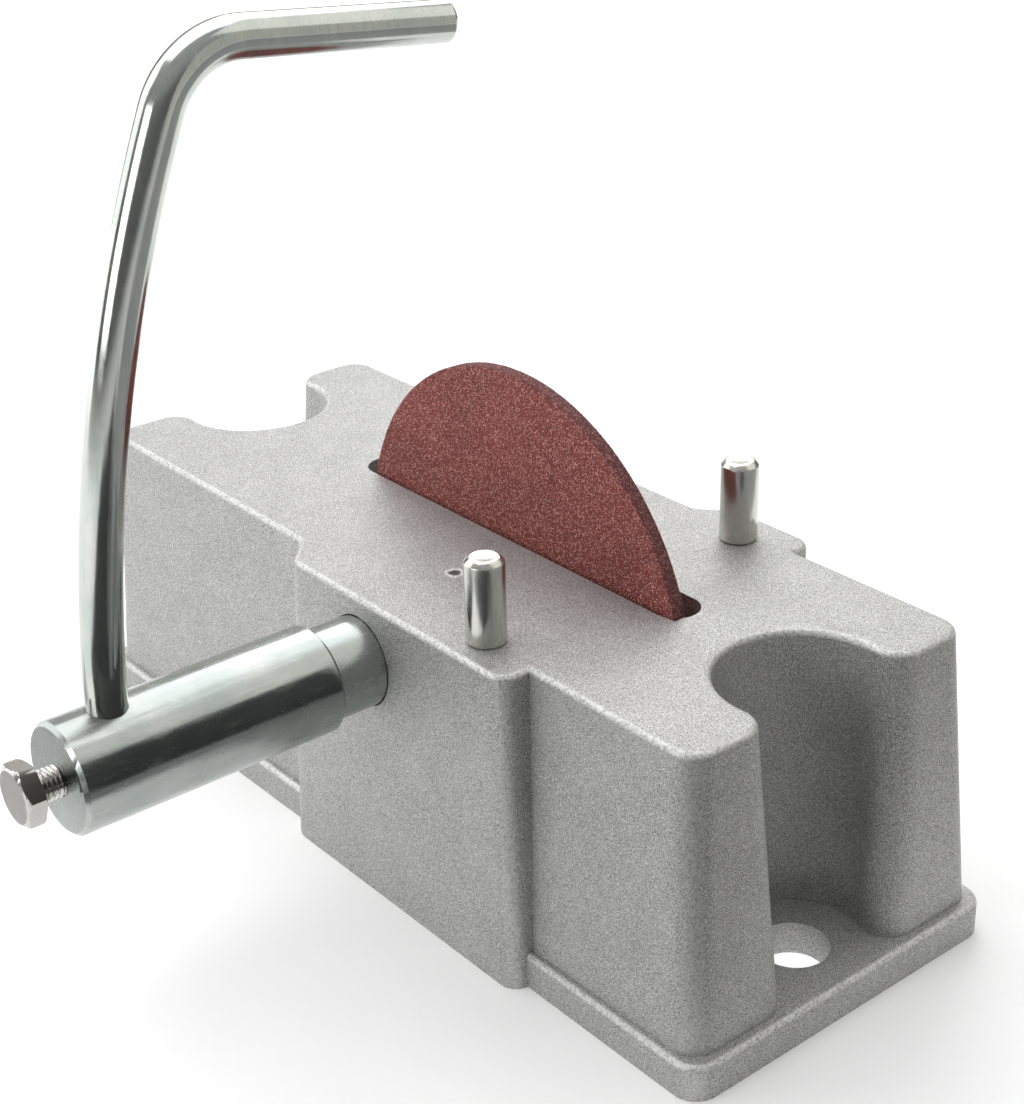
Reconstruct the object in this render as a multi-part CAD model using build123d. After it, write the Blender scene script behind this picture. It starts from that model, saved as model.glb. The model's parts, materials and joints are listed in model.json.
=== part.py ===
from build123d import *
from math import asin, cos, degrees, radians, sin, sqrt, tan
import os

# Hand-cranked skate sharpener: an open-bottomed cast housing with an abrasive
# wheel standing up through a slot, two guide pins, and a bent crank rod
# clamped in the cross hole of a hub on the wheel's own spindle.
# Millimetres. +X runs along the housing, +Z is up, the crank side faces -Y.
# The origin is the middle of the housing's underside.

# Housing, outside
body_height = 68.0
top_length = 199.2
top_width = 72.0
wall_draft_x = 4.8
wall_draft_y = 3.6
plate_length = top_length + 13.4
plate_width = top_width + 10.0
plate_thickness = 7.6
plate_corner = 5.5
plate_edge_round = 1.4
wall_corner = 5.5
top_edge_round = 1.4

# End notches and the bench bolt holes in them
notch_inset = 8.1
notch_radius_top = 17.0
notch_radius_low = 14.6
lug_corner = 6.0
bolt_hole_radius = 7.15

# Front bulge (spindle housing and front pin) and back pin boss
bulge_left = -12.5
bulge_right = 56.5
bulge_depth_top = 6.9
bulge_depth_low = 5.0
bulge_draft_x = 3.2
bulge_flank = 6.0
boss_left = 29.0
boss_right = 54.8
boss_depth = 6.0
boss_flank = 3.5

# Housing, inside
side_wall = 7.0
top_wall = 6.0
cavity_corner = 6.0
spindle_boss_radius = 19.0
pin_boss_radius = 9.5
pin_boss_drop = 18.0

# Spindle line
spindle_x = 11.5
spindle_below_top = 14.0
spindle_z = body_height - spindle_below_top
neck_radius = 9.525
journal_radius = 7.9375
pilot_radius = 6.35
lip_clearance = 0.20
lip_thickness = 3.3
running_clearance = 0.05
end_float = 0.05
neck_length = 10.7
tenon_length = 36.0
bush_radius = 11.1125
bush_gap = 4.0
housing_inner_y = -14.0

# Abrasive wheel and its clamping stack
wheel_y = -1.5
wheel_thickness = 3.0
wheel_floor_gap = 3.2
end_wall = 10.0
wheel_bore_clearance = 0.05
blotter_thickness = 0.6
blotter_radius = 9.6
flange_radius = 10.0
inner_flange_thickness = 6.0
outer_flange_thickness = 5.0
flange_pocket_radius = 11.4
pilot_short_of_face = 0.6

# Slot in the top
slot_front = 2.5
slot_back = 7.4
slot_left_gap = 5.2
slot_right_gap = 1.2
wheel_relief = 0.6

# Retaining ring and thrust washer
thrust_washer_thickness = 1.5
thrust_washer_radius = 10.5
ring_thickness = 1.2
ring_radius = 9.3
ring_opening = 4.0
groove_depth = 0.55
groove_gap = 0.05

# Wheel screw
screw_radius = 3.97
screw_length = 24.0
screw_head_across = 12.7
screw_head_height = 5.3
lock_washer_radius = 6.6
lock_washer_thickness = 1.8
lock_washer_gap = 1.2
thread_clearance = 0.03

# Crank hub, rod and clamp bolt
hub_radius = 11.11
hub_length = 56.3
hub_edge = 0.8
cross_hole_inset = 11.4
rod_radius = 3.97
rod_clear_of_hub = 0.4
rod_set_radius = 60.0
rod_set_angle = 3.0
rod_sweep_radius = 300.0
rod_sweep_angle = 19.5
rod_upper_straight = 2.3
rod_bend_radius = 16.5
rod_grip_slope = 4.7
rod_grip_length = 44.1
rod_below_axis = 7.0
rod_end_edge = 0.9
bolt_radius = 3.175
bolt_head_across = 11.1
bolt_head_height = 4.1
bolt_stand_off = 4.7

# Guide pins
pin_radius = 3.97
pin_shank_radius = 3.45
pin_relief = 0.3
pin_height = 17.7
pin_depth = 16.0
pin_edge = 1.2
pin_x = 42.7
pin_edge_inset = 2.5

# Derived positions
half_length = top_length / 2
half_width = top_width / 2
notch_x = half_length - notch_inset
axis_fraction = spindle_z / body_height
bulge_low_y = half_width + wall_draft_y + bulge_depth_low
bulge_top_y = half_width + bulge_depth_top
bulge_face_y = -(bulge_low_y + (bulge_top_y - bulge_low_y) * axis_fraction)
bush_front_y = bulge_face_y + lip_thickness
bush_length = (housing_inner_y - bush_front_y - bush_gap) / 2
hub_back_y = bulge_face_y - neck_length
hub_front_y = hub_back_y - hub_length
cross_hole_y = hub_front_y + cross_hole_inset
tenon_end_y = hub_back_y - tenon_length
wheel_radius = min(
    spindle_z - wheel_floor_gap,
    notch_x - notch_radius_top - end_wall - slot_right_gap - spindle_x,
)
wheel_front_y = wheel_y - wheel_thickness / 2
wheel_back_y = wheel_y + wheel_thickness / 2
inner_flange_back_y = wheel_front_y - blotter_thickness
inner_flange_front_y = inner_flange_back_y - inner_flange_thickness
outer_flange_front_y = wheel_back_y + blotter_thickness
outer_flange_back_y = outer_flange_front_y + outer_flange_thickness
washer_front_y = housing_inner_y + end_float
ring_front_y = washer_front_y + thrust_washer_thickness + groove_gap
pilot_end_y = wheel_back_y - pilot_short_of_face
screw_head_y = outer_flange_back_y + lock_washer_thickness
pin_offset = half_width - pin_edge_inset
bolt_tip_y = cross_hole_y - rod_radius - running_clearance
bolt_seat_y = hub_front_y - bolt_stand_off


def along_y(radius, y_from, y_to):
    """A plain cylinder about the spindle line between two Y positions."""
    plane = Plane(origin=(spindle_x, y_from, spindle_z), z_dir=(0, 1, 0))
    return extrude(plane * Circle(radius), y_to - y_from)


def sleeve(radius, bore, y_from, y_to):
    """A plain ring about the spindle line."""
    return along_y(radius, y_from, y_to) - along_y(bore, y_from, y_to)


def upright(radius, x, y, z_from, z_to):
    """A plain upright cylinder."""
    return Pos(x, y, z_from) * extrude(Circle(radius), z_to - z_from)


def ring_edges(part, y):
    """Circular edges of a turned piece that lie at one Y position."""
    edges = part.edges().filter_by(GeomType.CIRCLE)
    return [edge for edge in edges if abs(edge.center().Y - y) < 0.01]


def round_corners(face, spots):
    """Round the corners of a flat outline nearest to each (x, y, radius)."""
    for x, y, radius in spots:
        corner = face.vertices().sort_by_distance((x, y, 0))[0]
        face = fillet(corner, radius)
    return face


def wall_outline(fraction):
    """Outline of the upright walls, from 0 at the floor to 1 at the top."""
    low = 1 - fraction
    x_half = half_length + wall_draft_x * low
    y_half = half_width + wall_draft_y * low
    notch = notch_radius_top + (notch_radius_low - notch_radius_top) * low
    left = bulge_left - bulge_draft_x * low
    right = bulge_right + bulge_draft_x * low
    front = -(bulge_top_y + (bulge_low_y - bulge_top_y) * low)
    back = y_half + boss_depth
    bulge = Polygon(
        (left - bulge_flank, -y_half),
        (left + 1, front),
        (right, front),
        (right, -y_half),
        (right, 0),
        (left - bulge_flank, 0),
        align=None,
    )
    boss = Polygon(
        (boss_left - boss_flank, 0),
        (boss_right, 0),
        (boss_right, back),
        (boss_left + boss_flank, back),
        (boss_left - boss_flank, y_half),
        align=None,
    )
    face = Rectangle(2 * x_half, 2 * y_half) + bulge + boss
    mouth = sqrt(notch ** 2 - (x_half - notch_x) ** 2)
    spots = []
    for side in (-1, 1):
        face -= Pos(side * notch_x, 0) * Circle(notch)
        for edge in (-1, 1):
            spots.append((side * x_half, edge * y_half, wall_corner))
            spots.append((side * x_half, edge * mouth, lug_corner))
    spots.append((left + 1, front, 7.0))
    spots.append((right, front, 4.0))
    spots.append((left - bulge_flank, -y_half, 5.0))
    spots.append((boss_left + boss_flank, back, 4.5))
    spots.append((boss_right, back, 4.0))
    spots.append((boss_left - boss_flank, y_half, 4.0))
    return round_corners(face, spots)


def make_walls():
    """Drafted upright walls as one solid block with a rounded top edge."""
    low = wall_outline(0)
    high = Pos(0, 0, body_height) * wall_outline(1)
    block = loft([low.faces()[0], high.faces()[0]], ruled=True)
    top = block.faces().sort_by(Axis.Z)[-1]
    return fillet(top.outer_wire().edges(), top_edge_round)


def make_plate():
    """Base plate with a softened upper edge and the two bench bolt holes."""
    outline = RectangleRounded(plate_length, plate_width, plate_corner)
    plate = extrude(outline, plate_thickness)
    upper = plate.faces().sort_by(Axis.Z)[-1]
    return fillet(upper.outer_wire().edges(), plate_edge_round)


def make_cavity():
    """Open-bottomed hollow under the top, with the inner bosses left in."""
    half_x = notch_x - notch_radius_top - side_wall
    half_y = half_width - side_wall
    depth = body_height - top_wall
    low = RectangleRounded(2 * half_x + 3, 2 * half_y + 6, cavity_corner)
    high = RectangleRounded(2 * half_x, 2 * half_y, cavity_corner)
    hollow = loft([low.faces()[0], (Pos(0, 0, depth) * high).faces()[0]], ruled=True)
    hollow -= along_y(spindle_boss_radius, bulge_face_y, housing_inner_y)
    web = Pos(spindle_x, (bulge_face_y + housing_inner_y) / 2, depth)
    web_size = (2 * spindle_boss_radius, housing_inner_y - bulge_face_y)
    hollow -= web * Box(*web_size, 2 * (depth - spindle_z))
    for y in (wheel_y - pin_offset, wheel_y + pin_offset):
        hollow -= upright(pin_boss_radius, pin_x, y, depth - pin_boss_drop, depth)
    return hollow


def make_slot():
    """Through slot for the wheel, with a close arc-shaped relief round its rim."""
    half_chord = sqrt(wheel_radius ** 2 - spindle_below_top ** 2)
    left = spindle_x - half_chord - slot_left_gap
    right = spindle_x + half_chord + slot_right_gap
    width = slot_front + slot_back
    middle = ((left + right) / 2, wheel_y + (slot_back - slot_front) / 2)
    outline = Pos(*middle) * SlotOverall(right - left, width)
    slot = Pos(0, 0, body_height - top_wall - 4) * extrude(outline, top_wall + 8)
    relief_radius = wheel_radius + wheel_relief
    slot += along_y(relief_radius, wheel_front_y - wheel_relief, wheel_back_y + wheel_relief)
    return slot


def make_casting():
    """The whole housing casting with its machined bores."""
    casting = make_walls() + make_plate()
    casting -= make_cavity()
    casting -= make_slot()
    for side in (-1, 1):
        casting -= upright(bolt_hole_radius, side * notch_x, 0, -1, plate_thickness + 1)
    casting -= along_y(neck_radius + lip_clearance, bulge_face_y - 5, bush_front_y + 1)
    casting -= along_y(bush_radius, bush_front_y, housing_inner_y + 1)
    pocket_end = screw_head_y + screw_head_height + 2
    casting -= along_y(flange_pocket_radius, housing_inner_y, pocket_end)
    for y in (wheel_y - pin_offset, wheel_y + pin_offset):
        casting -= upright(pin_shank_radius, pin_x, y, body_height - pin_depth, body_height + 1)
    return casting


def make_spindle():
    """Turned spindle: hub tenon, neck, journal and wheel pilot."""
    spindle = along_y(pilot_radius, tenon_end_y, hub_back_y + 1)
    spindle += along_y(neck_radius, hub_back_y, bush_front_y - end_float)
    spindle += along_y(journal_radius, bush_front_y - end_float, inner_flange_front_y)
    spindle += along_y(pilot_radius, inner_flange_front_y - 1, pilot_end_y)
    groove_from = ring_front_y - groove_gap
    groove_to = ring_front_y + ring_thickness + groove_gap
    spindle -= sleeve(journal_radius + 1, journal_radius - groove_depth, groove_from, groove_to)
    tapped_depth = screw_length - screw_head_y + pilot_end_y
    tapped_from = pilot_end_y - tapped_depth - 2
    return spindle - along_y(screw_radius + thread_clearance, tapped_from, pilot_end_y)


def make_bush(y_from):
    """Plain bearing bush pressed into the spindle boss."""
    bore = journal_radius + running_clearance
    return sleeve(bush_radius, bore, y_from, y_from + bush_length)


def make_thrust_washer():
    """Flat washer between the inner bush and the retaining ring."""
    bore = journal_radius + running_clearance
    back = washer_front_y + thrust_washer_thickness
    return sleeve(thrust_washer_radius, bore, washer_front_y, back)


def make_retaining_ring():
    """Open spring ring in the spindle groove."""
    bore = journal_radius - groove_depth + groove_gap
    ring = sleeve(ring_radius, bore, ring_front_y, ring_front_y + ring_thickness)
    cut = Pos(spindle_x, ring_front_y, spindle_z - ring_radius)
    return ring - cut * Box(ring_opening, 4 * ring_thickness, ring_radius)


def make_wheel():
    """Flat abrasive wheel."""
    bore = pilot_radius + wheel_bore_clearance
    return sleeve(wheel_radius, bore, wheel_front_y, wheel_back_y)


def make_blotter(y_from):
    """Paper disc between the wheel and a flange."""
    bore = pilot_radius + wheel_bore_clearance
    return sleeve(blotter_radius, bore, y_from, y_from + blotter_thickness)


def make_inner_flange():
    """Flange seated on the pilot, against the journal's end."""
    flange = sleeve(flange_radius, pilot_radius, inner_flange_front_y, inner_flange_back_y)
    return chamfer(ring_edges(flange, inner_flange_front_y), 0.4)


def make_outer_flange():
    """Flange drawn against the wheel by the screw."""
    bore = screw_radius + 0.15
    flange = sleeve(flange_radius, bore, outer_flange_front_y, outer_flange_back_y)
    return chamfer(ring_edges(flange, outer_flange_back_y), 0.4)


def make_lock_washer():
    """Split spring washer under the wheel screw's head."""
    bore = screw_radius + 0.15
    washer = sleeve(lock_washer_radius, bore, outer_flange_back_y, screw_head_y)
    cut = Pos(spindle_x, outer_flange_back_y, spindle_z - lock_washer_radius)
    return washer - cut * Box(lock_washer_gap, 4 * lock_washer_thickness, lock_washer_radius)


def hex_head(across, height, seat_y, direction):
    """Hexagonal bolt head with its outer corners turned off."""
    plane = Plane(origin=(spindle_x, seat_y, spindle_z), z_dir=(0, direction, 0))
    corner_radius = across / sqrt(3)
    block = extrude(plane * RegularPolygon(corner_radius, 6), height)
    slope = (corner_radius - across / 2 * 0.95) * tan(radians(30))
    cone = extrude(plane * Circle(corner_radius + 0.01), height)
    rim = ring_edges(cone, seat_y + direction * height)
    return block & chamfer(rim, slope, slope / tan(radians(30)))


def make_wheel_screw():
    """Hexagon screw into the end of the spindle."""
    head = hex_head(screw_head_across, screw_head_height, screw_head_y, 1)
    shank_from = screw_head_y - screw_length
    return head + along_y(screw_radius, shank_from, screw_head_y + 1)


def make_hub():
    """Crank hub with the rod's cross hole and the tapped front hole."""
    hub = along_y(hub_radius, hub_front_y, hub_back_y)
    hub = chamfer(ring_edges(hub, hub_front_y), hub_edge)
    hub = chamfer(ring_edges(hub, hub_back_y), hub_edge)
    hub -= along_y(pilot_radius, tenon_end_y, hub_back_y)
    bore = rod_radius + running_clearance
    floor = spindle_z - rod_below_axis - end_float
    hub -= upright(bore, spindle_x, cross_hole_y, floor, spindle_z + hub_radius + 1)
    return hub - along_y(bolt_radius + thread_clearance, hub_front_y - 1, cross_hole_y)


def make_rod():
    """Round crank rod: straight root, long sweep, bend and sloping grip."""
    side = Plane(origin=(spindle_x, 0, 0), x_dir=(0, 1, 0), z_dir=(1, 0, 0))
    turn = 90 - rod_set_angle - rod_sweep_angle + rod_grip_slope
    low = (cross_hole_y, spindle_z - rod_below_axis)
    high = (cross_hole_y, spindle_z + hub_radius + rod_clear_of_hub)
    root = Line(low, high)
    lean = JernArc(root @ 1, root % 1, rod_set_radius, -rod_set_angle)
    long_arc = JernArc(lean @ 1, lean % 1, rod_sweep_radius, -rod_sweep_angle)
    upper = Line(long_arc @ 1, long_arc @ 1 + (long_arc % 1) * rod_upper_straight)
    bend = JernArc(upper @ 1, upper % 1, rod_bend_radius, -turn)
    grip = Line(bend @ 1, bend @ 1 + (bend % 1) * rod_grip_length)
    line = side * Wire([edge.edge() for edge in (root, lean, long_arc, upper, bend, grip)])
    start = Plane(origin=line @ 0, z_dir=line % 0)
    rod = sweep(start * Circle(rod_radius), path=line)
    tip = rod.faces().sort_by_distance(line @ 1)[0]
    return chamfer(tip.edges(), rod_end_edge)


def make_clamp_bolt():
    """Hexagon bolt that locks the rod in the cross hole."""
    head = hex_head(bolt_head_across, bolt_head_height, bolt_seat_y, -1)
    return head + along_y(bolt_radius, bolt_seat_y - 1, bolt_tip_y)


def make_guide_pin(y):
    """Ground pin on a slimmer shank pressed into the top of the housing."""
    shoulder = body_height + pin_relief
    pin = upright(pin_radius, pin_x, y, shoulder, body_height + pin_height)
    pin += upright(pin_shank_radius, pin_x, y, body_height - pin_depth, shoulder + 1)
    rim = pin.edges().filter_by(GeomType.CIRCLE).sort_by(Axis.Z)[-1]
    return chamfer(rim, pin_edge)


pieces = {
    "body_casting": make_casting(),
    "front_bush": make_bush(bush_front_y),
    "inner_bush": make_bush(housing_inner_y - bush_length),
    "spindle": make_spindle(),
    "thrust_washer": make_thrust_washer(),
    "retaining_ring": make_retaining_ring(),
    "inner_flange": make_inner_flange(),
    "inner_blotter": make_blotter(inner_flange_back_y),
    "abrasive_wheel": make_wheel(),
    "outer_blotter": make_blotter(wheel_back_y),
    "outer_flange": make_outer_flange(),
    "lock_washer": make_lock_washer(),
    "wheel_screw": make_wheel_screw(),
    "crank_hub": make_hub(),
    "crank_rod": make_rod(),
    "clamp_bolt": make_clamp_bolt(),
    "front_guide_pin": make_guide_pin(wheel_y - pin_offset),
    "back_guide_pin": make_guide_pin(wheel_y + pin_offset),
}

os.makedirs("parts", exist_ok=True)
for name, piece in pieces.items():
    export_step(piece, "parts/" + name + ".step")
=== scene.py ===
import json
import math
import random

import bmesh
import bpy
from mathutils import Matrix, Vector


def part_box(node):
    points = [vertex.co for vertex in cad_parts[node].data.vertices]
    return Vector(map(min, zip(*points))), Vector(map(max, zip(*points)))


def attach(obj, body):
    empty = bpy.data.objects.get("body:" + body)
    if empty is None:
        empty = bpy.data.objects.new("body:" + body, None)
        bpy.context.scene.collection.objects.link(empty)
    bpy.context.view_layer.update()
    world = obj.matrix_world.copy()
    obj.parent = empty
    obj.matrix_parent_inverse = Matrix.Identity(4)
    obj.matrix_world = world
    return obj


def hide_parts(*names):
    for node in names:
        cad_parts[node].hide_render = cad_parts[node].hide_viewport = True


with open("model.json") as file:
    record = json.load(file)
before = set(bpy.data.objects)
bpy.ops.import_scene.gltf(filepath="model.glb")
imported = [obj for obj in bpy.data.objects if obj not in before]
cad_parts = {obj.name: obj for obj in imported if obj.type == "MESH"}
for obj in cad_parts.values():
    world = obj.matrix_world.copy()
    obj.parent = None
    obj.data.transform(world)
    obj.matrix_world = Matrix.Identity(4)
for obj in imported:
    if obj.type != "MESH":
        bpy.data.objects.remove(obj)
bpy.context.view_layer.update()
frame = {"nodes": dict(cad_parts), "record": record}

MM = 0.001
SEED = 11

# Camera: place, direction and lens that give the reference view
CAMERA_PLACE = (0.30416, -0.23687, 0.24591)
CAMERA_AZIMUTH = 51.0
CAMERA_ELEVATION = 25.3
CAMERA_ROLL = -1.49
CAMERA_LENS = 64.68
CAMERA_SHIFT = (-0.0114, -0.0154)

# Crank rod, in millimetres and degrees, following its own centre line
ROD_ARCS = ((60.0, 3.0), (300.0, 19.5))
ROD_UPPER_STRAIGHT = 2.3
ROD_BEND_RADIUS = 16.5
ROD_BEND_ANGLE = 72.2
ROD_CLEAR_OF_HUB = 0.4
ROD_RING_STEP = 1.2
ROD_SEGMENTS = 64
ROD_CHAMFER = 0.8 * MM

# Wheel mesh: edge rounding, the band that is worn, and the crumbled grains
WHEEL_SEGMENTS = 720
WHEEL_EDGE = 0.28 * MM
WHEEL_WORN_BAND = 6 * MM
WHEEL_CRUMB_ROWS = 6
WHEEL_CRUMB_DEPTH = 0.16 * MM
BLOTTER_WIDTHS_TO_BORE = 3

# Clamp bolt thread, 1/4 in with 28 turns to the inch
THREAD_PITCH = 0.907 * MM
THREAD_DEPTH = 0.36 * MM

# Casting pit beside the front pin, and how far its edge wanders
PIT_PLACE = (15.9 * MM, -21.8 * MM, 68.0 * MM)
PIT_RADIUS = 1.6 * MM
PIT_WANDER = 0.4 * MM

# Distance from the long middle line at which upright corners begin to take a painted highlight
CORNER_HIGHLIGHT_FROM_Y = (24 * MM, 28 * MM)

# Turn of the noise lattices, so that no flat face lies along one and shows bands
LATTICE_TURN = (0.62, 0.41, 0.27)

# Clamp bolt: turn of its flats as pictured, head height, and head ring sizes as shares
# of half the width across flats
BOLT_TURN = math.radians(-20)
BOLT_SEGMENTS = 144
BOLT_HEAD = 4.1 * MM
BOLT_RADIUS = 3.175 * MM
BOLT_CORE = 0.88
BOLT_TIP = 0.86
HEAD_DISH = 0.80
HEAD_FACE = 0.93
HEAD_WASHER = 0.94
HEAD_CHAMFER_SLOPE = 1.75
HEAD_CHAMFER_STEPS = (0.25 * MM, 0.5 * MM, 0.75 * MM, 1.0 * MM, 1.3 * MM)
HEAD_BACK_STEPS = ((0.55 * MM, 1.15), (0.3 * MM, 1.08))
WASHER_FACE_DEPTH = 0.28 * MM
THREAD_RINGS_PER_TURN = 10
THREAD_FLANK = 2.5
THREAD_LEAST_FADE = 0.15

# Guide pins
PIN_SEGMENTS = 96
PIN_CHAMFER = 0.95 * MM
PIN_SHANK = 0.87

# Stage: floor, the cards that lie on it, and a far point that the flags face
FLOOR_SIZE = 12.0
PATCH_HEIGHT = 2 * MM
HOLE_CARD_HEIGHT = 0.4 * MM
HOLE_CARD_SIZE = 14 * MM
FAR_RIGHT_X = 1.0
BENCH_HOLE_X = frame["record"]["mounts"][0]["dims"]["spacing_x_mm"] / 2 * MM


def centre(node):
    """Middle of a CAD node's box."""
    low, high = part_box(node)
    return (low + high) / 2


def mesh_object(name, build, body, replaced):
    """A mesh piece that stands in for one CAD node and rides on its body."""
    mesh = bpy.data.meshes.new(name)
    shape = bmesh.new()
    build(shape)
    bmesh.ops.recalc_face_normals(shape, faces=shape.faces)
    shape.to_mesh(mesh)
    shape.free()
    piece = bpy.data.objects.new(name, mesh)
    bpy.context.scene.collection.objects.link(piece)
    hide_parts(replaced)
    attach(piece, body)
    return piece


def shade_smooth(piece, angle):
    """Smooth shading with edges kept sharp above an angle in degrees."""
    piece.data.shade_smooth()
    piece.data.set_sharp_from_angle(angle=math.radians(angle))


def skin(shape, rings, closed=True):
    """Join rings of points into a tube, and close both ends with a fan."""
    rows = [[shape.verts.new(point) for point in ring] for ring in rings]
    count = len(rows[0])
    for low, high in zip(rows, rows[1:]):
        for i in range(count):
            j = (i + 1) % count
            shape.faces.new((low[i], low[j], high[j], high[i]))
    if closed:
        for row in (rows[0], rows[-1]):
            middle = sum((vert.co for vert in row), Vector()) / count
            hub = shape.verts.new(middle)
            for i in range(count):
                shape.faces.new((row[i], row[(i + 1) % count], hub))


def turned_rings(profile, foot, axis, segments):
    """Rings of points for a turned piece: profile is (distance, radius) pairs."""
    side = axis.orthogonal().normalized()
    other = axis.cross(side)
    rings = []
    for step, radius in profile:
        ring = []
        for i in range(segments):
            turn = 2 * math.pi * i / segments
            out = side * math.cos(turn) + other * math.sin(turn)
            ring.append(foot + axis * step + out * radius)
        rings.append(ring)
    return rings


# ---------------------------------------------------------------- materials

class Shader:
    """A Principled material with short helpers for its node network."""

    def __init__(self, name, color, metallic, roughness):
        self.material = bpy.data.materials.new(name)
        self.material.use_nodes = True
        self.tree = self.material.node_tree
        self.bsdf = self.tree.nodes["Principled BSDF"]
        self.bsdf.inputs["Base Color"].default_value = (*color, 1)
        self.bsdf.inputs["Metallic"].default_value = metallic
        self.bsdf.inputs["Roughness"].default_value = roughness
        self.space = self.node("ShaderNodeTexCoord").outputs["Object"]

    def node(self, kind, **settings):
        made = self.tree.nodes.new(kind)
        for key, value in settings.items():
            setattr(made, key, value)
        return made

    def feed(self, socket, value):
        if isinstance(value, bpy.types.NodeSocket):
            self.tree.links.new(value, socket)
        else:
            socket.default_value = value

    def texture(self, kind, scale, stretch=None):
        """A texture node in object space, on a turned lattice unless stretched."""
        mapping = self.node("ShaderNodeMapping")
        self.feed(mapping.inputs["Vector"], self.space)
        if stretch:
            mapping.inputs["Scale"].default_value = stretch
        else:
            mapping.inputs["Rotation"].default_value = LATTICE_TURN
        made = self.node(kind)
        self.feed(made.inputs["Vector"], mapping.outputs["Vector"])
        made.inputs["Scale"].default_value = scale
        return made

    def noise(self, scale, stretch=None, detail=3.0, roughness=0.55):
        made = self.texture("ShaderNodeTexNoise", scale, stretch)
        made.inputs["Detail"].default_value = detail
        made.inputs["Roughness"].default_value = roughness
        return made.outputs["Fac"]

    def grains(self, scale):
        """A random value for each small cell."""
        made = self.texture("ShaderNodeTexVoronoi", scale)
        split = self.node("ShaderNodeSeparateColor")
        self.feed(split.inputs["Color"], made.outputs["Color"])
        return split.outputs[0]

    def ramp(self, value, low, high, to_low=0.0, to_high=1.0):
        made = self.node("ShaderNodeMapRange")
        self.feed(made.inputs["Value"], value)
        numbers = (low, high, to_low, to_high)
        for key, number in zip(("From Min", "From Max", "To Min", "To Max"), numbers):
            made.inputs[key].default_value = number
        return made.outputs["Result"]

    def mix(self, share, first, second):
        made = self.node("ShaderNodeMix", data_type="RGBA")
        self.feed(made.inputs[0], share)
        for socket, value in zip(made.inputs[6:8], (first, second)):
            self.feed(socket, (*value, 1) if isinstance(value, tuple) else value)
        return made.outputs[2]

    def math(self, operation, first, second=0.0):
        made = self.node("ShaderNodeMath", operation=operation)
        self.feed(made.inputs[0], first)
        self.feed(made.inputs[1], second)
        return made.outputs[0]

    def product(self, first, second):
        return self.math("MULTIPLY", first, second)

    def absolute(self, value):
        return self.math("ABSOLUTE", value)

    def split(self, vector):
        made = self.node("ShaderNodeSeparateXYZ")
        self.feed(made.inputs[0], vector)
        return made.outputs

    def bump(self, height, strength, distance):
        made = self.node("ShaderNodeBump")
        made.inputs["Strength"].default_value = strength
        made.inputs["Distance"].default_value = distance
        self.feed(made.inputs["Height"], height)
        if self.bsdf.inputs["Normal"].is_linked:
            before = self.bsdf.inputs["Normal"].links[0].from_socket
            self.feed(made.inputs["Normal"], before)
        self.feed(self.bsdf.inputs["Normal"], made.outputs["Normal"])

    def glow(self, color, strength):
        self.bsdf.inputs["Emission Color"].default_value = (*color, 1)
        self.bsdf.inputs["Emission Strength"].default_value = strength

    def color(self, value):
        self.feed(self.bsdf.inputs["Base Color"], value)

    def roughness(self, value):
        self.feed(self.bsdf.inputs["Roughness"], value)


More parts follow.
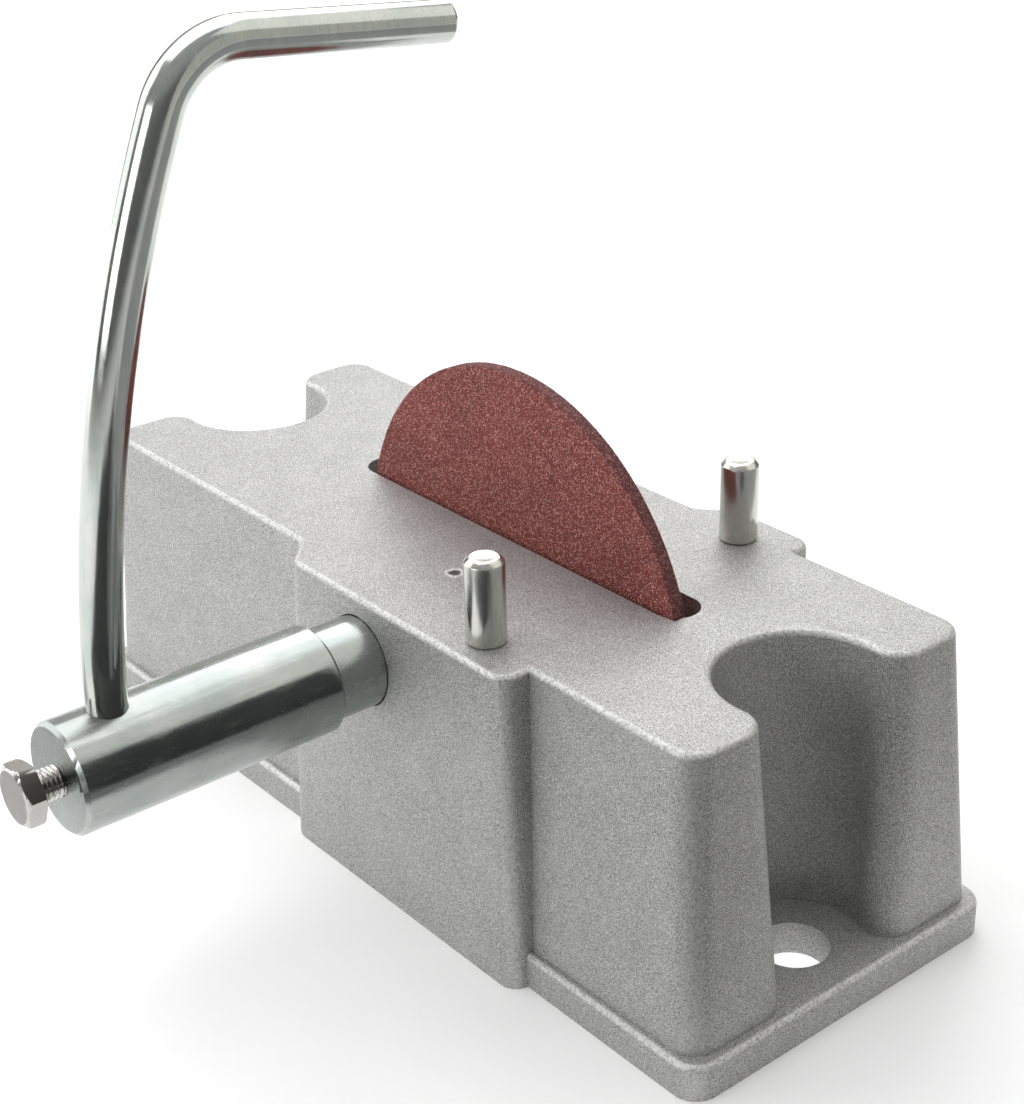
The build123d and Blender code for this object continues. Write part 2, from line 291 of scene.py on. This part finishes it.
def cast_aluminium():
    """Cast aluminium: fine sandy grain, ragged edges and corners lightened as a painted
    highlight, and one small pit with painted shade in it and a painted highlight round its rim.
    """
    s = Shader("cast_aluminium", (0.45, 0.45, 0.44), 0.9, 0.6)
    grain = s.noise(4300, detail=2.0, roughness=0.6)
    coarse = s.noise(1500, detail=4.0, roughness=0.7)
    sparkle = s.grains(3600)
    mottle = s.noise(110, detail=5.0)
    facing = s.split(s.node("ShaderNodeNewGeometry").outputs["Normal"])
    # Painted highlight: masks of the fillets, found by how far their faces tilt up, and of
    # upright corners away from the middle line.
    fillet = s.product(s.ramp(facing[2], 0.20, 0.50), s.ramp(facing[2], 0.985, 0.88))
    corner = s.ramp(s.absolute(s.product(facing[0], facing[1])), 0.28, 0.48)
    outside = s.ramp(s.absolute(s.split(s.space)[1]), *CORNER_HIGHLIGHT_FROM_Y)
    corner = s.product(s.product(corner, outside), 0.45)
    wear_and_highlight = s.math("MAXIMUM", fillet, corner)
    ragged = s.product(wear_and_highlight, s.ramp(coarse, 0.40, 0.56, 0.15, 1.0))
    base = s.mix(s.ramp(mottle, 0.3, 0.7), (0.385, 0.385, 0.375), (0.445, 0.445, 0.435))
    base = s.mix(s.ramp(grain, 0.52, 0.64), base, (0.74, 0.74, 0.73))
    base = s.mix(s.ramp(grain, 0.46, 0.34), base, (0.15, 0.15, 0.147))
    base = s.mix(s.ramp(coarse, 0.40, 0.25, 0, 0.5), base, (0.26, 0.26, 0.255))
    base = s.mix(s.ramp(sparkle, 0.965, 1.0, 0, 0.5), base, (0.85, 0.85, 0.85))
    # Painted highlight: lighten the ragged fillets and corners.
    base = s.mix(ragged, base, (0.72, 0.72, 0.71))
    offset = s.node("ShaderNodeVectorMath", operation="SUBTRACT")
    s.feed(offset.inputs[0], s.space)
    offset.inputs[1].default_value = PIT_PLACE
    reach = s.node("ShaderNodeVectorMath", operation="LENGTH")
    s.feed(reach.inputs[0], offset.outputs[0])
    wander = s.ramp(s.noise(900), 0.3, 0.7, -PIT_WANDER, PIT_WANDER)
    uneven = s.math("ADD", reach.outputs["Value"], wander)
    pit = s.ramp(uneven, PIT_RADIUS * 0.4, PIT_RADIUS, 1.0, 0.0)
    # Painted highlight: a pale ring round the pit's edge.
    rim_highlight_inner = s.ramp(uneven, PIT_RADIUS * 0.75, PIT_RADIUS)
    rim_highlight_outer = s.ramp(uneven, PIT_RADIUS * 1.1, PIT_RADIUS * 1.4, 0.9, 0.0)
    rim_highlight = s.product(rim_highlight_inner, rim_highlight_outer)
    base = s.mix(rim_highlight, base, (0.85, 0.85, 0.84))
    # Painted shade: the pit's hollow is coloured near black.
    s.color(s.mix(pit, base, (0.10, 0.10, 0.10)))
    s.roughness(s.ramp(grain, 0.3, 0.7, 0.5, 0.7))
    s.bump(s.noise(160, detail=3.0), 0.22, 0.4 * MM)
    s.bump(s.math("SUBTRACT", s.product(coarse, 0.5), pit), 0.5, 0.3 * MM)
    s.bump(grain, 0.8, 0.10 * MM)
    return s.material


def plated_steel(name, axis, tone, rough, tint, wear):
    """Plated steel with fine lines and creases along its length."""
    s = Shader(name, tone, 1.0, rough)
    along = [1.0, 1.0, 1.0]
    along["xyz".index(axis)] = 0.06
    lines = s.noise(2200, stretch=tuple(along), detail=4.0, roughness=0.65)
    along["xyz".index(axis)] = 0.22
    crinkle = s.noise(700, stretch=tuple(along), detail=5.0, roughness=0.65)
    cloud = s.noise(90, detail=4.0)
    base = s.mix(s.ramp(cloud, 0.35, 0.7), tone, tint)
    base = s.mix(s.ramp(lines, 0.52, 0.8, 0, 0.45), base, (0.30, 0.31, 0.305))
    base = s.mix(s.ramp(crinkle, 0.62, 0.8, 0, 0.4), base, (0.80, 0.82, 0.81))
    s.color(base)
    s.roughness(s.ramp(crinkle, 0.3, 0.7, rough * 0.8, rough * 1.4))
    s.bump(crinkle, 0.12 * wear, 0.06 * MM)
    s.bump(lines, 0.25 * wear, 0.02 * MM)
    return s.material


def grit(name, tone, dark, light, strength):
    """Bonded abrasive: dense coloured grit with pale and dark grains."""
    s = Shader(name, tone, 0.0, 0.82)
    grain = s.noise(4600, detail=2.0, roughness=0.7)
    cells = s.grains(5200)
    cloud = s.noise(60, detail=3.0)
    base = s.mix(s.ramp(grain, 0.38, 0.56), dark, tone)
    base = s.mix(s.ramp(cloud, 0.35, 0.65, 0, 0.25), base, dark)
    base = s.mix(s.ramp(cells, 0.78, 0.92, 0, 0.8), base, light)
    base = s.mix(s.ramp(cells, 0.0, 0.22, 0.8, 0.0), base, dark)
    s.color(base)
    s.bump(grain, strength, 0.14 * MM)
    s.bump(cells, strength, 0.06 * MM)
    return s.material


def machined(name, tone, rough):
    """Turned metal with faint tool lines round its Y axis."""
    s = Shader(name, tone, 1.0, rough)
    lines = s.noise(1600, stretch=(0.12, 1, 0.12), detail=3.0)
    cloud = s.noise(220, detail=4.0)
    darker = tuple(0.72 * value for value in tone)
    s.color(s.mix(s.ramp(cloud, 0.3, 0.75), tone, darker))
    s.roughness(s.ramp(cloud, 0.3, 0.7, rough * 0.8, rough * 1.3))
    s.bump(lines, 0.25, 0.03 * MM)
    return s.material


def paper_card(name):
    """Fibrous blotter card."""
    s = Shader(name, (0.5, 0.45, 0.36), 0.0, 0.9)
    fibre = s.noise(900, stretch=(1, 1, 0.2), detail=5.0)
    s.color(s.mix(s.ramp(fibre, 0.3, 0.7), (0.42, 0.37, 0.29), (0.60, 0.55, 0.46)))
    s.bump(fibre, 0.4, 0.08 * MM)
    return s.material


def floor_card(name, tone, glimmer=0.0):
    """Matte grey paper with the slightest fibre in it, faintly lit from behind."""
    s = Shader(name, (tone,) * 3, 0.0, 0.95)
    s.glow((1, 1, 1), glimmer)
    fibre = s.noise(700, detail=3.0)
    s.color(s.mix(s.ramp(fibre, 0.3, 0.7), (tone,) * 3, (tone * 0.985,) * 3))
    return s.material


CAST = cast_aluminium()
HUB_STEEL = plated_steel("zinc_hub", "y", (0.45, 0.47, 0.46), 0.22, (0.36, 0.40, 0.385), 2.2)
ROD_STEEL = plated_steel("zinc_rod", "z", (0.60, 0.605, 0.58), 0.13, (0.47, 0.52, 0.50), 1.0)
PIN_STEEL = plated_steel("ground_pin", "z", (0.66, 0.66, 0.62), 0.20, (0.56, 0.56, 0.52), 1.0)
BOLT_STEEL = plated_steel("nickel_bolt", "y", (0.60, 0.585, 0.565), 0.20, (0.54, 0.52, 0.49), 0.3)
WHEEL_FACE = grit(
    "wheel_grit", (0.31, 0.062, 0.056), (0.07, 0.010, 0.009), (0.80, 0.40, 0.34), 0.6
)
WHEEL_RIM = grit("wheel_rim", (0.20, 0.058, 0.055), (0.05, 0.012, 0.012), (0.50, 0.22, 0.20), 0.7)
CAD_LOOKS = {
    "body_casting": CAST,
    "front_bush": machined("bronze", (0.62, 0.43, 0.22), 0.32),
    "spindle": HUB_STEEL,
    "crank_hub": HUB_STEEL,
    "thrust_washer": machined("washer_bronze", (0.60, 0.41, 0.20), 0.36),
    "retaining_ring": machined("spring_steel", (0.16, 0.16, 0.17), 0.34),
    "inner_flange": machined("turned_flange", (0.55, 0.55, 0.55), 0.3),
    "inner_blotter": paper_card("blotter_card"),
    "wheel_screw": BOLT_STEEL,
}
CAD_LOOKS["inner_bush"] = CAD_LOOKS["front_bush"]
CAD_LOOKS["outer_flange"] = CAD_LOOKS["inner_flange"]
CAD_LOOKS["outer_blotter"] = CAD_LOOKS["inner_blotter"]
CAD_LOOKS["lock_washer"] = CAD_LOOKS["retaining_ring"]


def dress_cad_nodes():
    """Give each CAD node that stays its procedural material."""
    for node, look in CAD_LOOKS.items():
        slots = frame["nodes"][node].data.materials
        slots.clear()
        slots.append(look)


# ------------------------------------------------------------------- pieces

def make_wheel():
    """Abrasive wheel with a slightly crumbled edge and a separate rim tone."""
    low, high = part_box("abrasive_wheel")
    middle = centre("abrasive_wheel")
    radius = (high.x - low.x) / 2
    blotter_low, blotter_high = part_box("outer_blotter")
    bore = (blotter_high.x - blotter_low.x) / BLOTTER_WIDTHS_TO_BORE
    half = (high.y - low.y) / 2
    segments = WHEEL_SEGMENTS
    edge = WHEEL_EDGE
    plain = radius - WHEEL_WORN_BAND
    chance = random.Random(SEED)
    crumbs = [
        [chance.uniform(-1, 0) for _ in range(segments)] for _ in range(WHEEL_CRUMB_ROWS)
    ]
    profile = [
        (-half, bore, 0.0),
        (-half, plain, 0.0),
        (-half, radius - edge, 0.4),
        (-half + edge * 0.45, radius - edge * 0.35, 1.0),
        (-half + edge, radius, 0.5),
        (half - edge, radius, 0.5),
        (half - edge * 0.45, radius - edge * 0.35, 1.0),
        (half, radius - edge, 0.4),
        (half, plain, 0.0),
        (half, bore, 0.0),
    ]

    def build(shape):
        rings = []
        for row, (step, reach, rough) in enumerate(profile):
            ring = []
            for i in range(segments):
                turn = 2 * math.pi * i / segments
                wear_and_highlight = reach + crumbs[row % WHEEL_CRUMB_ROWS][i] * rough * WHEEL_CRUMB_DEPTH
                out = Vector((math.cos(turn), 0, math.sin(turn)))
                ring.append(middle + Vector((0, step, 0)) + out * wear_and_highlight)
            rings.append(ring)
        skin(shape, rings, closed=False)
        shape.verts.ensure_lookup_table()
        last = len(profile) - 1
        for i in range(segments):
            j = (i + 1) % segments
            corners = (i, j, last * segments + j, last * segments + i)
            shape.faces.new([shape.verts[k] for k in corners])

    piece = mesh_object("wheel_with_grit", build, "spindle_group", "abrasive_wheel")
    shade_smooth(piece, 32)
    piece.data.materials.append(WHEEL_FACE)
    piece.data.materials.append(WHEEL_RIM)
    for face in piece.data.polygons:
        out = Vector((face.center.x - middle.x, 0, face.center.z - middle.z)).length
        if out > radius - edge * 1.1:
            face.material_index = 1
    return piece


def rod_path():
    """Centre line of the crank rod as (place, lean) pairs, and the rod's radius."""
    low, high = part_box("crank_rod")
    hub_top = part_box("crank_hub")[1].z
    radius = (high.x - low.x) / 2
    y = low.y + radius
    z = low.z
    lean = 0.0
    path = [(Vector((centre("crank_rod").x, y, z)), lean)]
    straight = hub_top + ROD_CLEAR_OF_HUB * MM - z

    def move(length, turn_degrees):
        nonlocal y, z, lean
        steps = max(1, round(length / (ROD_RING_STEP * MM)))
        for _ in range(steps):
            lean += math.radians(turn_degrees) / steps / 2
            y += math.sin(lean) * length / steps
            z += math.cos(lean) * length / steps
            lean += math.radians(turn_degrees) / steps / 2
            path.append((Vector((path[0][0].x, y, z)), lean))

    move(straight, 0)
    for arc_radius, turn in ROD_ARCS:
        move(arc_radius * MM * math.radians(turn), turn)
    move(ROD_UPPER_STRAIGHT * MM, 0)
    move(ROD_BEND_RADIUS * MM * math.radians(ROD_BEND_ANGLE), ROD_BEND_ANGLE)
    tip = high.y - radius * abs(math.cos(lean)) - y
    move(tip / math.sin(lean), 0)
    return path, radius


def make_rod():
    """Crank rod swept along its centre line, with a softened sawn end."""
    path, radius = rod_path()
    chamfer = ROD_CHAMFER
    end_place, end_lean = path[-1]
    tangent = Vector((0, math.sin(end_lean), math.cos(end_lean)))
    stations = [(place, lean, radius) for place, lean in path[:-1]]
    for back, inset in ((chamfer, 0.0), (chamfer * 0.35, chamfer * 0.35), (0.0, chamfer)):
        stations.append((end_place - tangent * back, end_lean, radius - inset))
    stations.append((end_place - tangent * 0.05 * MM, end_lean, radius * 0.5))

    def build(shape):
        rings = []
        for place, lean, reach in stations:
            across = Vector((0, math.cos(lean), -math.sin(lean)))
            ring = []
            for i in range(ROD_SEGMENTS):
                turn = 2 * math.pi * i / ROD_SEGMENTS
                out = across * math.cos(turn) + Vector((math.sin(turn), 0, 0))
                ring.append(place + out * reach)
            rings.append(ring)
        skin(shape, rings)

    piece = mesh_object("crank_rod_bar", build, "rod", "crank_rod")
    shade_smooth(piece, 28)
    piece.data.materials.append(ROD_STEEL)
    return piece


def make_clamp_bolt():
    """Hexagon bolt with turned-off corners, a washer face and a real thread."""
    low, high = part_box("clamp_bolt")
    x, z = centre("clamp_bolt").x, centre("clamp_bolt").z
    half_across = (high.x - low.x) / 2
    start = low.y
    seat = start + BOLT_HEAD
    length = high.y - seat

    def hexagon(turn):
        sector = (turn - BOLT_TURN + math.pi / 6) % (math.pi / 3) - math.pi / 6
        return half_across / math.cos(sector)

    def round_ring(y, radius):
        return shaped_ring(y, lambda turn: radius)

    def hexagon_ring(y, limit):
        return shaped_ring(y, lambda turn: min(hexagon(turn), limit))

    def shaped_ring(y, radius_at):
        points = []
        for i in range(BOLT_SEGMENTS):
            turn = 2 * math.pi * i / BOLT_SEGMENTS
            reach = radius_at(turn)
            points.append(Vector((x + reach * math.cos(turn), y, z + reach * math.sin(turn))))
        return points

    def thread_ring(y):
        fade = min(1.0, (high.y - y) / THREAD_PITCH + THREAD_LEAST_FADE)
        taper = BOLT_TIP + (1 - BOLT_TIP) * fade

        def radius_at(turn):
            phase = (y / THREAD_PITCH - turn / (2 * math.pi)) % 1.0
            cut = min(1.0, abs(phase - 0.5) * THREAD_FLANK)
            return (BOLT_RADIUS - THREAD_DEPTH * (1 - cut)) * taper

        return shaped_ring(y, radius_at)

    def build(shape):
        rings = [round_ring(start, half_across * share) for share in (HEAD_DISH, HEAD_FACE)]
        for step in HEAD_CHAMFER_STEPS:
            limit = half_across * HEAD_FACE + step * HEAD_CHAMFER_SLOPE
            rings.append(hexagon_ring(start + step, limit))
        for step, share in HEAD_BACK_STEPS:
            rings.append(hexagon_ring(seat - step, half_across * share))
        rings.append(round_ring(seat - WASHER_FACE_DEPTH, half_across * HEAD_WASHER))
        rings.append(round_ring(seat, half_across * HEAD_FACE))
        rings.append(round_ring(seat, BOLT_RADIUS * BOLT_CORE))
        steps = int(length / THREAD_PITCH * THREAD_RINGS_PER_TURN)
        rings += [thread_ring(seat + length * k / steps) for k in range(1, steps + 1)]
        skin(shape, rings)

    piece = mesh_object("clamp_bolt_threaded", build, "bolt", "clamp_bolt")
    shade_smooth(piece, 24)
    piece.data.materials.append(BOLT_STEEL)
    return piece


def make_guide_pin(node):
    """Ground pin with a softened chamfer and a faintly dished end."""
    low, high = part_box(node)
    middle = centre(node)
    radius = (high.x - low.x) / 2
    foot = Vector((middle.x, middle.y, low.z))
    tall = high.z - low.z
    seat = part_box("body_casting")[1].z - low.z
    chamfer = PIN_CHAMFER
    profile = [
        (0.0, radius * PIN_SHANK),
        (seat + 0.2 * MM, radius * PIN_SHANK),
        (seat + 0.3 * MM, radius * 0.985),
        (seat + 0.5 * MM, radius),
        (tall - chamfer - 0.20 * MM, radius),
        (tall - chamfer - 0.06 * MM, radius - 0.03 * MM),
        (tall - chamfer + 0.08 * MM, radius - 0.13 * MM),
        (tall - 0.26 * MM, radius - chamfer + 0.24 * MM),
        (tall - 0.10 * MM, radius - chamfer + 0.06 * MM),
        (tall - 0.02 * MM, radius - chamfer - 0.14 * MM),
        (tall, radius - chamfer - 0.40 * MM),
        (tall - 0.10 * MM, radius * 0.45),
        (tall - 0.12 * MM, radius * 0.1),
    ]

    def build(shape):
        skin(shape, turned_rings(profile, foot, Vector((0, 0, 1)), PIN_SEGMENTS))

    piece = mesh_object(node + "_turned", build, "housing", node)
    shade_smooth(piece, 25)
    piece.data.materials.append(PIN_STEEL)
    return piece


# -------------------------------------------------------------------- stage

def card(name, place, size, facing, look):
    """A flat stage card facing a point."""
    bpy.ops.mesh.primitive_plane_add(size=1)
    made = bpy.context.object
    made.name = name
    made.scale = (size[0], size[1], 1)
    made.location = place
    toward = Vector(facing) - Vector(place)
    made.rotation_mode = "QUATERNION"
    made.rotation_quaternion = toward.to_track_quat("Z", "Y")
    made.data.materials.append(look)
    return made


def softbox(name, place, size, power, facing=(0, 0, 0.05)):
    """A soft rectangular light aimed at a point."""
    data = bpy.data.lights.new(name, "AREA")
    data.shape = "RECTANGLE"
    data.size, data.size_y = size
    data.energy = power
    lamp = bpy.data.objects.new(name, data)
    bpy.context.scene.collection.objects.link(lamp)
    lamp.location = place
    toward = Vector(facing) - Vector(place)
    lamp.rotation_mode = "QUATERNION"
    lamp.rotation_quaternion = toward.to_track_quat("-Z", "Y")
    return lamp


def make_world():
    """Sky that is bright overhead and dim along the horizon."""
    world = bpy.data.worlds.new("studio")
    bpy.context.scene.world = world
    world.use_nodes = True
    tree = world.node_tree
    back = tree.nodes["Background"]
    place = tree.nodes.new("ShaderNodeTexCoord")
    split = tree.nodes.new("ShaderNodeSeparateXYZ")
    ramp = tree.nodes.new("ShaderNodeValToRGB")
    tree.links.new(place.outputs["Generated"], split.inputs[0])
    tree.links.new(split.outputs[2], ramp.inputs[0])
    tree.links.new(ramp.outputs[0], back.inputs["Color"])
    stops = ((0.0, 0.30), (0.06, 0.24), (0.28, 0.36), (0.50, 0.70), (1.0, 1.0))
    ramp.color_ramp.elements[0].position, tone = stops[0]
    ramp.color_ramp.elements[0].color = (tone, tone, tone, 1)
    ramp.color_ramp.elements[1].position, tone = stops[-1]
    ramp.color_ramp.elements[1].color = (tone, tone, tone, 1)
    for position, tone in stops[1:-1]:
        stop = ramp.color_ramp.elements.new(position)
        stop.color = (tone, tone, tone, 1)
    back.inputs["Strength"].default_value = 0.5


def glow(name, tone, strength):
    """Material of a plain glowing card."""
    s = Shader(name, (0, 0, 0), 0.0, 1.0)
    s.glow(tone, strength)
    return s.material


def reflected_only(item):
    """Hide a card from everything but glossy reflections."""
    item.visible_camera = False
    item.visible_diffuse = False
    item.visible_shadow = False


def floor_patch(name, middle, size, turn, look):
    """A card lying just over the floor, seen only in reflections."""
    place = (*middle, PATCH_HEIGHT)
    made = card(name, place, size, (*middle, 1), look)
    made.rotation_mode = "XYZ"
    made.rotation_euler = (0, 0, math.radians(turn))
    reflected_only(made)


def make_backdrop():
    """Four pale walls at the floor's edges, which light nothing."""
    wall = glow("wall_card", (1, 1, 1), 0.80)
    reach = FLOOR_SIZE / 2
    for x, y in ((reach, 0), (-reach, 0), (0, reach), (0, -reach)):
        made = card("wall", (x, y, reach / 2), (FLOOR_SIZE, reach), (0, 0, reach / 2), wall)
        made.visible_diffuse = False
        made.visible_glossy = False
        made.visible_shadow = False


def make_stage():
    """Pale floor and walls, soft lights, the cards that the metal reflects, and glowing discs of
    painted light under the bench holes.
    """
    paper = floor_card("paper_sweep", 0.95, 0.12)
    card("floor", (0, 0, 0), (FLOOR_SIZE, FLOOR_SIZE), (0, 0, 1), paper)
    make_backdrop()
    softbox("overhead", (-0.55, 0.15, 1.35), (1.8, 1.8), 17)
    softbox("left_key", (-1.0, -0.65, 0.55), (1.0, 1.2), 6)
    softbox("front_fill", (0.0, -0.9, 0.35), (0.5, 0.35), 1.8)
    softbox("far_wash", (-1.1, 1.3, 1.1), (1.2, 1.2), 14, facing=(-1.1, 1.3, 0))
    dark = floor_card("dark_card", 0.03)
    grey = floor_card("grey_card", 0.36)
    pale = floor_card("pale_card", 0.45)
    floor_patch("front_dark_card", (0.33, -0.25), (0.55, 0.36), -25, dark)
    floor_patch("right_grey_card", (0.50, 0.25), (0.70, 0.70), 0, grey)
    beige = glow("beige_card", (0.86, 0.85, 0.78), 0.64)
    sky = glow("sky_card", (0.86, 0.85, 0.80), 1.35)
    for name, place, size, aim_height, look in (
        ("far_right_card", (1.1, 0.7, 0.50), (1.6, 1.10), 0.50, beige),
        ("far_left_card", (-1.1, 0.8, 0.35), (1.6, 0.70), 0.35, beige),
        ("upper_right_card", (0.52, 0.85, 1.12), (1.3, 1.1), 0.1, sky),
    ):
        reflected_only(card(name, place, size, (0, 0, aim_height), look))
    for name, place, size, look in (
        ("hub_flag", (0.0265, -0.0865, 0.0610), (0.069, 0.012), floor_card("flag", 0.07)),
        ("bolt_flag", (0.0197, -0.1148, 0.0610), (0.0085, 0.012), dark),
    ):
        reflected_only(card(name, place, size, (FAR_RIGHT_X, place[1], place[2]), look))
    floor_patch("front_grey_card", (-0.075, -0.178), (0.10, 0.075), 0, pale)
    # Glowing white discs on the floor under the two bench holes: painted light that brightens the
    # shaded floor seen through the holes.
    hole_glow = glow("hole_glow_card", (1, 1, 1), 1.0)
    for side in (-1, 1):
        place = (side * BENCH_HOLE_X, 0, HOLE_CARD_HEIGHT)
        card("hole_card", place, (HOLE_CARD_SIZE, HOLE_CARD_SIZE), (place[0], 0, 1), hole_glow)
    make_world()


def make_camera():
    """Camera at the reference view."""
    data = bpy.data.cameras.new("camera")
    data.lens = CAMERA_LENS
    data.sensor_width = 36.0
    data.shift_x, data.shift_y = CAMERA_SHIFT
    data.clip_start = 0.01
    data.clip_end = 50.0
    camera = bpy.data.objects.new("camera", data)
    bpy.context.scene.collection.objects.link(camera)
    turn, rise = math.radians(CAMERA_AZIMUTH), math.radians(CAMERA_ELEVATION)
    back = Vector(
        (math.sin(turn) * math.cos(rise), -math.cos(turn) * math.cos(rise), math.sin(rise))
    )
    right = Vector((math.cos(turn), math.sin(turn), 0))
    up = back.cross(right)
    roll = math.radians(CAMERA_ROLL)
    across = right * math.cos(roll) + up * math.sin(roll)
    above = up * math.cos(roll) - right * math.sin(roll)
    pose = Matrix((across, above, back)).transposed().to_4x4()
    pose.translation = Vector(CAMERA_PLACE)
    camera.matrix_world = pose
    bpy.context.scene.camera = camera


dress_cad_nodes()
make_wheel()
make_rod()
make_clamp_bolt()
for pin_node in ("front_guide_pin", "back_guide_pin"):
    make_guide_pin(pin_node)
make_stage()
make_camera()
bpy.context.scene.view_settings.view_transform = "Standard"
